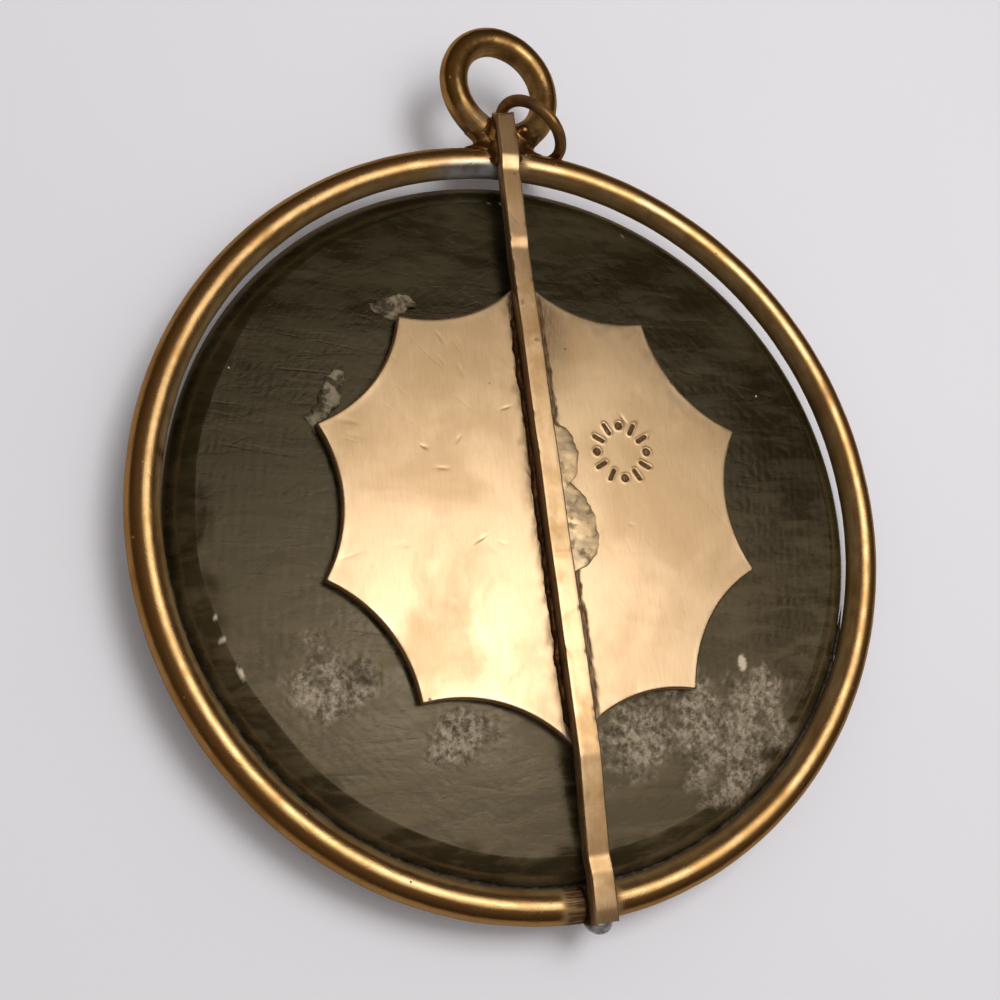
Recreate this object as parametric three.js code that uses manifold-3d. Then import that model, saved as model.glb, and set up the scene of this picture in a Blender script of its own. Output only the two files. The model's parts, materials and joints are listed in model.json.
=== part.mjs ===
// A round pendant lying face down: a stone disc in a wire hoop, held from behind by a
// ten-pointed plate and a bent strap, with a fixed bail ring and a loose jump ring.
// Millimetres. +Z is the pendant's back, +Y points to the bail, and the origin is the
// centre of the stone's flat front face, on which the pendant rests.
import * as THREE from "three";
import { mergeVertices } from "three/addons/utils/BufferGeometryUtils.js";
import Module from "manifold-3d";

const wasm = await Module();
wasm.setup();

// ---- driving dimensions ----
const stoneRadius = 22.85;
const stoneFlatRadius = 21.2; // of the flat fields, front and back
const stoneThickness = 3.4;
const girdleLow = 1.2; // the stone's straight edge runs from here
const girdleHigh = 2.3; // to here

const cementThickness = 0.1;
const cementInset = 0.35; // the cement stops this far inside the plate's edge
const plateThickness = 0.7;
const plateReach = 15; // centre to a nominal point
const pointCount = 10;
const scallopDip = 0.13; // depth of a scallop as a share of its chord
const pointBlunt = 0.16; // width of the worn flat on each point
const pointSetback = 1.6; // a point draws back this many times as far as its sides

const hoopOuterRadius = 25;
const hoopWire = 2.05;
const hoopHeight = 3.1; // the hoop's middle plane above the front face, at the centre
const hoopLean = 1.5; // degrees: the hoop sits a little higher at the bail
const seamGap = 0.24;

const bailRadius = 3.5; // to the middle of the wire
const bailWire = 1.94;
const bailCentre = new THREE.Vector3(0, 29.48, 0.38); // in the hoop's own frame
const bailTip = [4.9, 8]; // degrees about X and Y, as it was soldered

const jumpRadius = 2.46;
const jumpWire = 0.86;
const jumpBearing = -50; // degrees round the bail ring from +X
const jumpTwist = 8; // degrees out of square with the bail's wire
const jumpButt = 4; // degrees between the ring's two ends
const jumpButtBearing = -70; // degrees: the ends meet low down, on the outer side

const strapThickness = 0.9;
const strapWidth = 1.42; // at the middle
const strapTaper = 0.0034; // it widens this much per mm towards the foot
const strapSkew = 1.35; // degrees: it runs a little aslant
const strapShift = 0.22;
const headSlope = 0.25; // the head is filed to a slope this long
const headLift = 0.42; // and rides this far over the bail's solder
const seat = 0.02; // air between a soldered piece and the piece it lies on
const solderSkin = 0.015; // air round a piece that solder has flowed against

const plateBase = stoneThickness + cementThickness;
const plateTop = plateBase + plateThickness;

// ---- materials ----
const brass = (color, roughness) =>
  new THREE.MeshStandardMaterial({ color, roughness, metalness: 0.9 });
const wireBrass = brass(0x9a6c2e, 0.28);
const plateBrass = brass(0xc79a5c, 0.42);
const strapBrass = brass(0xb98a4c, 0.38);
const bailBrass = brass(0x8c6128, 0.3);
const jumpBrass = brass(0x7a5020, 0.3);
const solderGrey = new THREE.MeshStandardMaterial({
  color: 0x7f7f7a,
  roughness: 0.45,
  metalness: 0.8,
});
const solderBrown = solderGrey.clone();
solderBrown.color.set(0x6b4a26);
const stone = new THREE.MeshStandardMaterial({ color: 0x26271c, roughness: 0.35, metalness: 0 });
const cement = new THREE.MeshStandardMaterial({ color: 0x6f6247, roughness: 0.9, metalness: 0 });

// ---- helpers ----
const rad = THREE.MathUtils.degToRad;

class RingArc extends THREE.Curve {
  constructor(radius, from, to) {
    super();
    Object.assign(this, { radius, from, to });
  }
  getPoint(t, target = new THREE.Vector3()) {
    const angle = this.from + (this.to - this.from) * t;
    return target.set(this.radius * Math.cos(angle), this.radius * Math.sin(angle), 0);
  }
}

// A ring of round wire in the XY plane that stops short of closing, with its two flat ends.
function openRing(radius, wire, fromDeg, toDeg, steps, sides) {
  const section = new THREE.Shape();
  section.absarc(0, 0, wire / 2, 0, 2 * Math.PI);
  return new THREE.ExtrudeGeometry(section, {
    steps,
    curveSegments: sides / 2, // a full turn takes twice this many
    extrudePath: new RingArc(radius, rad(fromDeg), rad(toDeg)),
  });
}

function solidOf(geometry, matrix = new THREE.Matrix4()) {
  const bare = new THREE.BufferGeometry();
  bare.setAttribute("position", geometry.getAttribute("position").clone());
  if (geometry.index) bare.setIndex(geometry.index.clone());
  bare.applyMatrix4(matrix);
  const merged = mergeVertices(bare, 1e-4);
  return new wasm.Manifold(
    new wasm.Mesh({
      numProp: 3,
      vertProperties: merged.attributes.position.array,
      triVerts: new Uint32Array(merged.index.array),
    }),
  );
}

function geometryOf(solid) {
  const { vertProperties, triVerts } = solid.getMesh();
  const geometry = new THREE.BufferGeometry();
  geometry.setAttribute("position", new THREE.BufferAttribute(vertProperties, 3));
  geometry.setIndex(new THREE.BufferAttribute(triVerts, 1));
  return geometry;
}

// An egg of solder: its half sizes and its centre.
function lump([rx, ry, rz], x, y, z) {
  const matrix = new THREE.Matrix4().makeScale(rx, ry, rz).setPosition(x, y, z);
  return solidOf(new THREE.SphereGeometry(1, 20, 12), matrix);
}

// All the space above or below a level, as a block wider than the pendant.
function halfSpace(level, side) {
  const size = 80;
  const matrix = new THREE.Matrix4().setPosition(0, 0, level + (side * size) / 2);
  return solidOf(new THREE.BoxGeometry(size, size, size), matrix);
}
const above = (level) => halfSpace(level, 1);
const below = (level) => halfSpace(level, -1);

function add(parent, name, geometry, material) {
  const mesh = new THREE.Mesh(geometry, material);
  mesh.name = name;
  parent.add(mesh);
  return mesh;
}

const pendant = new THREE.Group();

// ---- stone: a disc with two flat fields, a straight girdle and rounded shoulders ----
function makeStone() {
  const profile = [new THREE.Vector2(0, 0), new THREE.Vector2(stoneFlatRadius, 0)];
  const shoulder = (z0, z1, from) => {
    // a quarter of an ellipse between a flat field and the girdle
    const steps = 4;
    for (let i = from; i <= steps; i += 1) {
      const a = (i / steps) * (Math.PI / 2);
      const r = stoneFlatRadius + (stoneRadius - stoneFlatRadius) * Math.sin(a);
      profile.push(new THREE.Vector2(r, z0 + (z1 - z0) * (1 - Math.cos(a))));
    }
  };
  shoulder(0, girdleLow, 1);
  const lower = profile.length;
  shoulder(stoneThickness, girdleHigh, 0);
  profile.splice(lower, profile.length, ...profile.slice(lower).reverse());
  profile.push(new THREE.Vector2(0, stoneThickness));
  const disc = new THREE.LatheGeometry(profile, 96);
  return disc.rotateX(Math.PI / 2); // the lathe turns about Y
}
add(pendant, "stone_disc", makeStone(), stone);

// ---- plate: ten points joined by hollow scallops, cut by hand ----
// how far each point strays from its even place, going clockwise from the bail
const pointStray = [-0.1, 0.6, -0.2, 0, 0.15, -0.1, 0.05, 0.05, -0.45, 0.25]; // mm of reach
const pointSlip = [0, -1.6, 0, 0, 0.7, 0, 0.8, 0.6, 1, 0.4]; // degrees clockwise

function starShape(inset) {
  const points = pointStray.map((stray, i) => {
    const bearing = rad(90 - (i * 360) / pointCount - pointSlip[i]);
    const reach = plateReach + stray - inset * pointSetback;
    return new THREE.Vector2(reach * Math.cos(bearing), reach * Math.sin(bearing));
  });
  points.reverse(); // counter-clockwise
  const outline = new THREE.Shape();
  points.forEach((from, i) => {
    const to = points[(i + 1) % pointCount];
    const chord = from.distanceTo(to);
    const dip = scallopDip * chord;
    const radius = (chord * chord) / (8 * dip) + dip / 2;
    const outward = new THREE.Vector2(to.y - from.y, from.x - to.x).divideScalar(chord);
    const middle = from.clone().add(to).multiplyScalar(0.5);
    const centre = middle.addScaledVector(outward, radius - dip);
    const blunt = pointBlunt / 2 / radius;
    const start = Math.atan2(from.y - centre.y, from.x - centre.x) - blunt;
    const end = Math.atan2(to.y - centre.y, to.x - centre.x) + blunt;
    outline.absarc(centre.x, centre.y, radius, start, end, true);
  });
  return outline;
}

function starSlab(inset, thickness, z) {
  const slab = new THREE.ExtrudeGeometry(starShape(inset), {
    depth: thickness,
    bevelEnabled: false,
    curveSegments: 7,
  });
  return slab.translate(0, 0, z);
}

add(pendant, "cement_bed", starSlab(cementInset, cementThickness, stoneThickness), cement);
add(pendant, "back_plate", starSlab(0, plateThickness, plateBase), plateBrass);

// ---- hoop, in a frame of its own that leans about X ----
const hoopFrame = new THREE.Group();
hoopFrame.position.z = hoopHeight;
hoopFrame.rotation.x = rad(hoopLean);
pendant.add(hoopFrame);

const hoopMiddle = hoopOuterRadius - hoopWire / 2;
const seamHalf = THREE.MathUtils.radToDeg(seamGap / 2 / hoopMiddle);
const hoopRing = (wire) =>
  openRing(hoopMiddle, wire, -90 + seamHalf, 270 - seamHalf, 96, 14);
add(hoopFrame, "hoop", hoopRing(hoopWire), wireBrass);

function seamPlug(radius, length) {
  const plug = new THREE.CylinderGeometry(radius, radius, length, 14);
  return plug.rotateZ(Math.PI / 2).translate(0, -hoopMiddle, 0);
}
const seamGeometry = seamPlug(hoopWire / 2 - seat, seamGap - 2 * seat);
add(hoopFrame, "hoop_seam_solder", seamGeometry, solderGrey);

// ---- bail ring, soldered to the hoop's edge, and the loose ring threaded round it ----
const bailFrame = new THREE.Group();
bailFrame.position.copy(bailCentre);
bailFrame.rotation.set(rad(bailTip[0]), rad(bailTip[1]), 0);
hoopFrame.add(bailFrame);
const bailTorus = (wire) => new THREE.TorusGeometry(bailRadius, wire / 2, 14, 44);
add(bailFrame, "bail_ring", bailTorus(bailWire), bailBrass);

const jumpSeat = new THREE.Group();
jumpSeat.rotation.z = rad(jumpBearing);
bailFrame.add(jumpSeat);
const jumpGeometry = openRing(jumpRadius, jumpWire, jumpButt, 360, 40, 10);
jumpGeometry.rotateZ(rad(jumpButtBearing));
jumpGeometry.rotateX(Math.PI / 2); // the ring stands across the bail's wire
const jumpRing = add(jumpSeat, "jump_ring", jumpGeometry, jumpBrass);
jumpRing.position.x = bailRadius;
jumpRing.rotation.z = rad(jumpTwist);

// ---- strap: flat wire laid over bail, hoop, plate and hoop again ----
const hoopCrest = (y) => hoopHeight + y * Math.tan(rad(hoopLean)) + hoopWire / 2;
const plateSeat = plateTop + seat;
const strapUnderside = [
  [27, hoopCrest(24) + headLift],
  [23.5, hoopCrest(24) + seat],
  [22.6, hoopCrest(24) - 0.2],
  [17.9, plateSeat + 0.05],
  [17, plateSeat],
  [-15.6, plateSeat],
  [-21.4, hoopCrest(-24) + 0.09],
  [-24.2, hoopCrest(-24) + seat],
  [-25, hoopCrest(-24) - 0.1],
];

function makeStrap(fat) {
  const line = strapUnderside.map(([y, z]) => new THREE.Vector2(y, z - fat));
  const back = strapUnderside.map(([y, z]) => new THREE.Vector2(y, z + strapThickness + fat));
  line[0].x += fat;
  back[0].x += fat - headSlope;
  line.at(-1).x -= fat;
  back.at(-1).x -= fat;
  const width = strapWidth + 2 * fat;
  const strap = new THREE.ExtrudeGeometry(new THREE.Shape([...line, ...back.reverse()]), {
    depth: width,
    bevelEnabled: false,
  });
  // the side profile is drawn in Y and Z, so the extrusion's axes are turned round
  const place = new THREE.Matrix4().set(0, 0, 1, -width / 2, 1, 0, 0, 0, 0, 1, 0, 0, 0, 0, 0, 1);
  strap.applyMatrix4(place);
  const at = strap.getAttribute("position");
  for (let i = 0; i < at.count; i += 1)
    at.setX(i, at.getX(i) * (1 - (at.getY(i) * strapTaper) / strapWidth));
  return strap;
}
const strapFrame = new THREE.Group();
strapFrame.rotation.z = rad(strapSkew);
strapFrame.position.x = strapShift;
pendant.add(strapFrame);
add(strapFrame, "back_strap", makeStrap(0), strapBrass);

// ---- solder, run against wire and plate, and cement squeezed out on the stone ----
pendant.updateMatrixWorld(true);
const fatSeam = solidOf(seamPlug(hoopWire / 2 + 2 * solderSkin, 1), hoopFrame.matrixWorld);
const fatHoop = solidOf(hoopRing(hoopWire + 2 * solderSkin), hoopFrame.matrixWorld).add(fatSeam);
const fatBail = solidOf(bailTorus(bailWire + 2 * solderSkin), bailFrame.matrixWorld);
const fatStrap = solidOf(makeStrap(solderSkin), strapFrame.matrixWorld);
const fatPlate = solidOf(starSlab(-solderSkin, plateTop - stoneThickness, stoneThickness));

const strapXAt = (y) => strapShift - y * Math.sin(rad(strapSkew));
const solderSplit = hoopCrest(25) - 0.42; // the bail's solder below, the strap's above
const bailLump = lump([2.3, 0.85, 0.75], 0, 25.05, hoopCrest(25) - 0.95)
  .subtract(above(solderSplit))
  .subtract(fatHoop)
  .subtract(fatBail);
add(pendant, "bail_solder", geometryOf(bailLump), solderBrown);

const headLump = lump([1.15, 1.5, 0.62], strapXAt(25), 24.9, hoopCrest(25) - 0.05)
  .subtract(below(solderSplit + seat))
  .subtract(fatHoop)
  .subtract(fatBail)
  .subtract(fatStrap);
add(pendant, "strap_top_solder", geometryOf(headLump), solderGrey);

const footLump = lump([1.3, 0.85, 0.95], strapXAt(-25), -24.85, hoopCrest(-25) - 0.45)
  .subtract(fatHoop)
  .subtract(fatStrap);
add(pendant, "strap_foot_solder", geometryOf(footLump), solderGrey);

// A low run of solder beside the strap, from y = from to y = to: one edge is straight, the
// other wanders by as much as rag, and both ends die away.
function raggedRun(from, to, width, rag, height) {
  const steps = 26;
  const endShare = 0.15; // what is left of the width at the two ends
  const outline = new THREE.Shape();
  outline.moveTo(0, from);
  for (let i = 0; i <= steps; i += 1) {
    const t = i / steps;
    const wander = Math.sin(7.3 * t + 0.6) * 0.5 + Math.sin(23 * t) * 0.3 + Math.sin(61 * t) * 0.2;
    const fade = endShare + (1 - endShare) * Math.min(1, 8 * t, 8 * (1 - t));
    outline.lineTo((width + rag * wander) * fade, from + (to - from) * t);
  }
  outline.lineTo(0, to);
  return new THREE.ExtrudeGeometry(outline, { depth: height, bevelEnabled: false });
}

// side is -1 for a run on the strap's left and 1 for one on its right
function addRun(name, material, run, side) {
  run.rotateY(side < 0 ? Math.PI : 0);
  run.computeBoundingBox();
  run.translate((side * strapWidth) / 2, 0, plateSeat - run.boundingBox.min.z);
  const solid = solidOf(run, strapFrame.matrixWorld).subtract(fatStrap);
  add(pendant, name, geometryOf(solid), material);
}
addRun("strap_side_solder", solderBrown, raggedRun(12.6, -14, 0.3, 0.14, 0.16), -1);
addRun("solder_patch", solderGrey, raggedRun(5.4, -4.8, 1.5, 0.5, 0.09), 1);

// Cement that came out at the plate's upper left edge: name, centre, half length, half width
// and the degrees that it lies turned.
const crumbHeight = 0.3;
const squeezed = [
  ["cement_residue_upper", -8.7, 13.2, 1.25, 0.75, 20],
  ["cement_residue_left", -13.1, 6.9, 2.0, 0.6, 62],
];
for (const [name, x, y, long, wide, turn] of squeezed) {
  const crumb = new THREE.SphereGeometry(1, 14, 8).scale(long, wide, crumbHeight);
  crumb.rotateZ(rad(turn)).translate(x, y, stoneThickness);
  const solid = solidOf(crumb).subtract(below(stoneThickness)).subtract(fatPlate);
  add(pendant, name, geometryOf(solid), cement);
}

export default pendant;
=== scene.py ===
import json
import math

import bpy
import numpy as np
import openvdb
from mathutils import Matrix, Vector


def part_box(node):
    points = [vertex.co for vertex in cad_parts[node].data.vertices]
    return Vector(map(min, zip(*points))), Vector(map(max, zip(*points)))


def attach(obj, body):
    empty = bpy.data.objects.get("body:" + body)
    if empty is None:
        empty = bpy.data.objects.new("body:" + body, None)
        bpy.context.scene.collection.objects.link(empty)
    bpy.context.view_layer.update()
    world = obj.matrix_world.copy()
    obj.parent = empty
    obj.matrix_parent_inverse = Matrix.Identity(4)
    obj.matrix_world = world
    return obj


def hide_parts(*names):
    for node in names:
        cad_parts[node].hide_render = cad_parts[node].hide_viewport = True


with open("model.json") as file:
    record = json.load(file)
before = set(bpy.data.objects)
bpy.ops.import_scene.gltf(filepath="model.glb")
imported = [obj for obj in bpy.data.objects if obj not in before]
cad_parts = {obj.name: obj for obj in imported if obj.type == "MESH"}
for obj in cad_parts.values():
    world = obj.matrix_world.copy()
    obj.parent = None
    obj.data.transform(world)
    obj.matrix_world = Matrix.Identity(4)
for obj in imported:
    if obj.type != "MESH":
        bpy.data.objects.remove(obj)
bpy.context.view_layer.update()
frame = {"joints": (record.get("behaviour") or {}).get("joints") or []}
print("frame loaded")

mm = 0.001  # shapes are worked out in millimetres and made in metres
turn = 2 * math.pi


# places that the frame gives
def nodeBox(name):
    low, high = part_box(name)
    return np.array(low) / mm, np.array(high) / mm


hoopWire = 2.05
hoopLow, hoopHigh = nodeBox("hoop")
hoopOuter = (hoopHigh[0] - hoopLow[0]) / 2
hoopMiddle = hoopOuter - hoopWire / 2
hoopSlope = (hoopHigh[2] - hoopLow[2] - hoopWire) / (2 * hoopMiddle)
hoopHeight = (hoopHigh[2] + hoopLow[2]) / 2
hoopPlace = Matrix.Translation((0, 0, hoopHeight)) @ Matrix.Rotation(math.asin(hoopSlope), 4, "X")

travel = frame["joints"][0]  # the loose ring slides round the bail ring
bailCentre = Vector(travel["pos_m"]) / mm
bailNormal = Vector(travel["axis"]).normalized()
bailTurn = Matrix.Rotation(math.atan2(-bailNormal.y, bailNormal.z), 4, "X") @ Matrix.Rotation(
    math.asin(bailNormal.x), 4, "Y"
)
bailPlace = Matrix.Translation(bailCentre) @ bailTurn

stoneTop = nodeBox("stone_disc")[1][2]
stoneEdge = nodeBox("stone_disc")[1][0]
plateBase, plateTop = (corner[2] for corner in nodeBox("back_plate"))
print("places read")


def smoothstep(low, high, value):
    t = np.clip((value - low) / (high - low), 0, 1)
    return t * t * (3 - 2 * t)


def waves(points, size, seed, count=24):  # a smooth random field, about -1 to 1, features size mm across
    rng = np.random.default_rng(seed)
    total = np.zeros(points.shape[:-1])
    for _ in range(count):
        direction = rng.normal(size=3)
        direction *= turn / (np.linalg.norm(direction) * size * rng.uniform(0.7, 2.2))
        total += np.sin(points @ direction + rng.uniform(0, turn))
    return total / math.sqrt(count)


def placed(points, matrix):
    m = np.array(matrix)
    return points @ m[:3, :3].T + m[:3, 3]


def unplaced(points, matrix):
    m = np.array(matrix)
    return (points - m[:3, 3]) @ m[:3, :3]


def gridQuads(rows, columns):
    row, column = np.meshgrid(np.arange(rows - 1), np.arange(columns), indexing="ij")
    here, there = row * columns, (row + 1) * columns
    after = (column + 1) % columns
    return np.stack([here + column, there + column, there + after, here + after], -1).reshape(-1, 4)


def loft(rings, startPole, endPole):  # closed loops in a row, shut at each end by a fan
    rows, columns = rings.shape[:2]
    points = np.vstack([rings.reshape(-1, 3), startPole, endPole])
    faces = gridQuads(rows, columns).tolist()
    start, end, last = rows * columns, rows * columns + 1, (rows - 1) * columns
    for c in range(columns):
        after = (c + 1) % columns
        faces.append([start, c, after])
        faces.append([end, last + after, last + c])
    return points, faces


def ringLoft(rings):  # closed loops that meet again, as in a torus
    rows, columns = rings.shape[:2]
    faces = gridQuads(rows + 1, columns) % (rows * columns)
    return rings.reshape(-1, 3), faces.tolist()


def makePiece(name, points, faces, material, nodes, body, grain=None, masks=None, crease=38):
    mesh = bpy.data.meshes.new(name)
    mesh.from_pydata((points * mm).tolist(), [], faces)
    mesh.validate()
    mesh.calc_loop_triangles()
    corners = np.zeros(len(mesh.loop_triangles) * 3, np.int32)
    mesh.loop_triangles.foreach_get("vertices", corners)
    a, b, c = (points[corners[i::3]] for i in range(3))
    if np.einsum("ij,ij->i", a, np.cross(b, c)).sum() < 0:
        mesh.flip_normals()
    mesh.shade_smooth()
    mesh.set_sharp_from_angle(angle=math.radians(crease))
    grain = points if grain is None else grain
    held = mesh.attributes.new("grain", "FLOAT_VECTOR", "POINT")  # mm, X runs with the brushing
    held.data.foreach_set("vector", grain.astype(np.float32).ravel())
    for key, value in (masks or {}).items():
        mesh.attributes.new(key, "FLOAT", "POINT").data.foreach_set("value", value.astype(np.float32))
    mesh.materials.append(material)
    piece = bpy.data.objects.new(name, mesh)
    bpy.context.scene.collection.objects.link(piece)
    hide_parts(*nodes)
    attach(piece, body)
    return piece


# distances to the big shapes, for solder that runs against them
def wireField(points, place, middle, wire):
    local = unplaced(points, place)
    across = np.hypot(local[..., 0], local[..., 1]) - middle
    return np.hypot(across, local[..., 2]) - wire / 2


def eggField(points, centre, half):
    scaled = (points - np.array(centre)) / np.array(half)
    return (np.linalg.norm(scaled, axis=-1) - 1) * min(half)


def melt(a, b, reach):  # the two shapes joined by a fillet
    h = np.clip(0.5 + 0.5 * (b - a) / reach, 0, 1)
    return b * (1 - h) + a * h - reach * h * (1 - h)


def skinOf(field, low, high, step):  # the closed surface on which a field is nought
    axes = [np.arange(low[i], high[i], step) for i in range(3)]
    points = np.stack(np.meshgrid(*axes, indexing="ij"), -1)
    values = field(points)
    for axis in range(3):
        edge = np.swapaxes(values, 0, axis)
        edge[[0, -1]] = np.maximum(edge[[0, -1]], step)
    volume = openvdb.FloatGrid(background=1.0)
    volume.copyFromArray(values.astype(float))
    found, quads = volume.convertToQuads(isovalue=0)
    return found * step + np.array(low), quads.tolist()


def addNode(tree, kind, links=None, **settings):
    made = tree.nodes.new("ShaderNode" + kind)
    for key, value in settings.items():
        setattr(made, key, value)
    for key, value in (links or {}).items():
        if isinstance(value, bpy.types.NodeSocket):
            tree.links.new(value, made.inputs[key])
        else:
            made.inputs[key].default_value = value
    return made


def maths(tree, operation, a, b=0.5, c=0.5):
    return addNode(tree, "Math", {0: a, 1: b, 2: c}, operation=operation).outputs[0]


def mixColours(tree, share, a, b, blend="MIX"):
    made = addNode(tree, "Mix", {0: share, 6: a, 7: b}, data_type="RGBA", blend_type=blend)
    return made.outputs[2]


def spread(tree, value, fromLow, fromHigh, low=0.0, high=1.0, kind="SMOOTHSTEP"):
    links = {"Value": value, "From Min": fromLow, "From Max": fromHigh, "To Min": low, "To Max": high}
    return addNode(tree, "MapRange", links, interpolation_type=kind).outputs[0]


def stretched(tree, vector, factors):
    return addNode(tree, "VectorMath", {0: vector, 1: factors}, operation="MULTIPLY").outputs[0]


def newGroup(name, inputs, outputs):  # a value is a number, a colour, or None for a vector
    tree = bpy.data.node_groups.new(name, "ShaderNodeTree")
    for side, sockets in (("INPUT", inputs), ("OUTPUT", outputs)):
        for label, value in sockets.items():
            kind = "Vector" if value is None else "Color" if isinstance(value, tuple) else "Float"
            socket = tree.interface.new_socket(name=label, in_out=side, socket_type="NodeSocket" + kind)
            if value is not None:
                socket.default_value = value
    start, end = tree.nodes.new("NodeGroupInput"), tree.nodes.new("NodeGroupOutput")
    return tree, start.outputs, end.inputs


def useGroup(tree, group, **links):
    return addNode(tree, "Group", {k.replace("_", " "): v for k, v in links.items()}, node_tree=group).outputs


def makeCloudGroup():  # patches of stain or haze
    inputs = {"Vector": None, "Size": 3.0, "Low": 0.45, "High": 0.6}
    tree, given, made = newGroup("patchyCloud", inputs, {"Mask": 0.0})
    near = maths(tree, "DIVIDE", 1.0, given["Size"])
    links = {"Vector": given["Vector"], "Scale": near, "Detail": 5.0, "Roughness": 0.6, "Distortion": 0.4}
    noise = addNode(tree, "TexNoise", links)
    value = spread(tree, noise.outputs[0], given["Low"], given["High"])
    tree.links.new(value, made["Mask"])
    return tree


def makeBrushGroup():  # fine lines left by the drawplate or by emery, along the grain's X
    tree, given, made = newGroup("brushedLines", {"Vector": None, "Pitch": 0.1, "Run": 3.0}, {"Value": 0.0})
    along = maths(tree, "DIVIDE", 1.0, given["Run"])
    across = maths(tree, "DIVIDE", 1.0, given["Pitch"])
    factors = addNode(tree, "CombineXYZ", {0: along, 1: across, 2: across}).outputs[0]
    vector = stretched(tree, given["Vector"], factors)
    noise = addNode(tree, "TexNoise", {"Vector": vector, "Scale": 1.0, "Detail": 3.0, "Roughness": 0.65})
    tree.links.new(noise.outputs[0], made["Value"])
    return tree


def makeScratchGroup():  # stray thin scratches at one bearing
    inputs = {"Vector": None, "Spacing": 1.2, "Bearing": 0.6, "Width": 0.03}
    tree, given, made = newGroup("strayScratches", inputs, {"Mask": 0.0})
    turned = addNode(tree, "VectorRotate", {"Vector": given["Vector"], "Angle": given["Bearing"]})
    near = maths(tree, "DIVIDE", 1.0, given["Spacing"])
    vector = stretched(tree, turned.outputs[0], (0.12, 1.0, 1.0))
    bent = addNode(tree, "TexNoise", {"Vector": vector, "Scale": near, "Detail": 1.5, "Distortion": 0.5})
    off = maths(tree, "ABSOLUTE", maths(tree, "SUBTRACT", bent.outputs[0], 0.5))
    line = spread(tree, off, given["Width"], 0.0)
    broken = addNode(tree, "TexNoise", {"Vector": turned.outputs[0], "Scale": near, "Detail": 2.0})
    kept = spread(tree, broken.outputs[0], 0.5, 0.62)
    tree.links.new(maths(tree, "MULTIPLY", line, kept), made["Mask"])
    return tree


def makePitGroup():  # small pits or specks, scattered
    inputs = {"Vector": None, "Spacing": 0.8, "Share": 0.3, "Width": 0.14}
    tree, given, made = newGroup("scatteredPits", inputs, {"Mask": 0.0})
    near = maths(tree, "DIVIDE", 1.0, given["Spacing"])
    wobble = addNode(tree, "TexNoise", {"Vector": given["Vector"], "Scale": 4.0, "Detail": 2.0})
    links = {0: wobble.outputs[1], 1: (0.12, 0.12, 0.12), 2: given["Vector"]}
    nudged = addNode(tree, "VectorMath", links, operation="MULTIPLY_ADD")
    cells = addNode(tree, "TexVoronoi", {"Vector": nudged.outputs[0], "Scale": near})
    inner = maths(tree, "MULTIPLY", given["Width"], 0.4)
    spot = spread(tree, cells.outputs["Distance"], given["Width"], inner)
    pick = addNode(tree, "SeparateColor", {0: cells.outputs["Color"]}).outputs[0]
    chosen = maths(tree, "LESS_THAN", pick, given["Share"])
    tree.links.new(maths(tree, "MULTIPLY", spot, chosen), made["Mask"])
    return tree


def makeGritGroup():  # fine even grit, Fineness in grains per mm
    inputs = {"Vector": None, "Fineness": 4.0, "Detail": 6.0, "Harshness": 0.65}
    tree, given, made = newGroup("fineGrit", inputs, {"Value": 0.0})
    sockets = {"Vector": "Vector", "Scale": "Fineness", "Detail": "Detail", "Roughness": "Harshness"}
    noise = addNode(tree, "TexNoise", {key: given[label] for key, label in sockets.items()})
    tree.links.new(noise.outputs[0], made["Value"])
    return tree


def makeGrimeGroup():  # grime and painted shade that keep to the brushed lines, and grime in the pits
    tree, given, made = newGroup("brokenGrime", {"Grime": 0.0, "Lines": 0.5, "Pits": 0.0}, {"Dirt": 0.0})
    broken = maths(tree, "MULTIPLY", given["Grime"], spread(tree, given["Lines"], 0.36, 0.62, 0.65, 1.25))
    inPits = maths(tree, "MULTIPLY", given["Pits"], 0.75)
    tree.links.new(maths(tree, "MAXIMUM", inPits, maths(tree, "MINIMUM", broken, 1.0)), made["Dirt"])
    return tree


def makeWornGroup():  # a bare colour with dirt and painted shade over it and with edges rubbed bright again
    plain = (0.5, 0.5, 0.5, 1)
    inputs = {"Colour": plain, "Dirt": 0.0, "Dirt Colour": plain, "Wear": 0.0, "Rubbed Colour": plain}
    tree, given, made = newGroup("wornSkin", inputs, {"Colour": plain})
    colour = mixColours(tree, given["Dirt"], given["Colour"], given["Dirt Colour"])
    colour = mixColours(tree, given["Wear"], colour, given["Rubbed Colour"])
    tree.links.new(colour, made["Colour"])
    return tree


patchyCloud = makeCloudGroup()
brushedLines = makeBrushGroup()
strayScratches = makeScratchGroup()
scatteredPits = makePitGroup()
fineGrit = makeGritGroup()
brokenGrime = makeGrimeGroup()
wornSkin = makeWornGroup()
print("shader groups made")


def newMaterial(name, **values):
    material = bpy.data.materials.new(name)
    material.use_nodes = True
    tree = material.node_tree
    shader = next(n for n in tree.nodes if n.type == "BSDF_PRINCIPLED")
    for key, value in values.items():
        shader.inputs[key.replace("_", " ")].default_value = value
    grain = addNode(tree, "Attribute", attribute_name="grain").outputs["Vector"]
    return material, tree, shader, grain


def maskOf(tree, name):
    return addNode(tree, "Attribute", attribute_name=name).outputs["Fac"]


def addBump(tree, shader, height, microns):
    bump = addNode(tree, "Bump", {"Height": height, "Distance": microns * 1e-6, "Strength": 1.0})
    tree.links.new(bump.outputs[0], shader.inputs["Normal"])


tinColour = (0.62, 0.64, 0.66, 1)  # solder that wetted the brass


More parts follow.
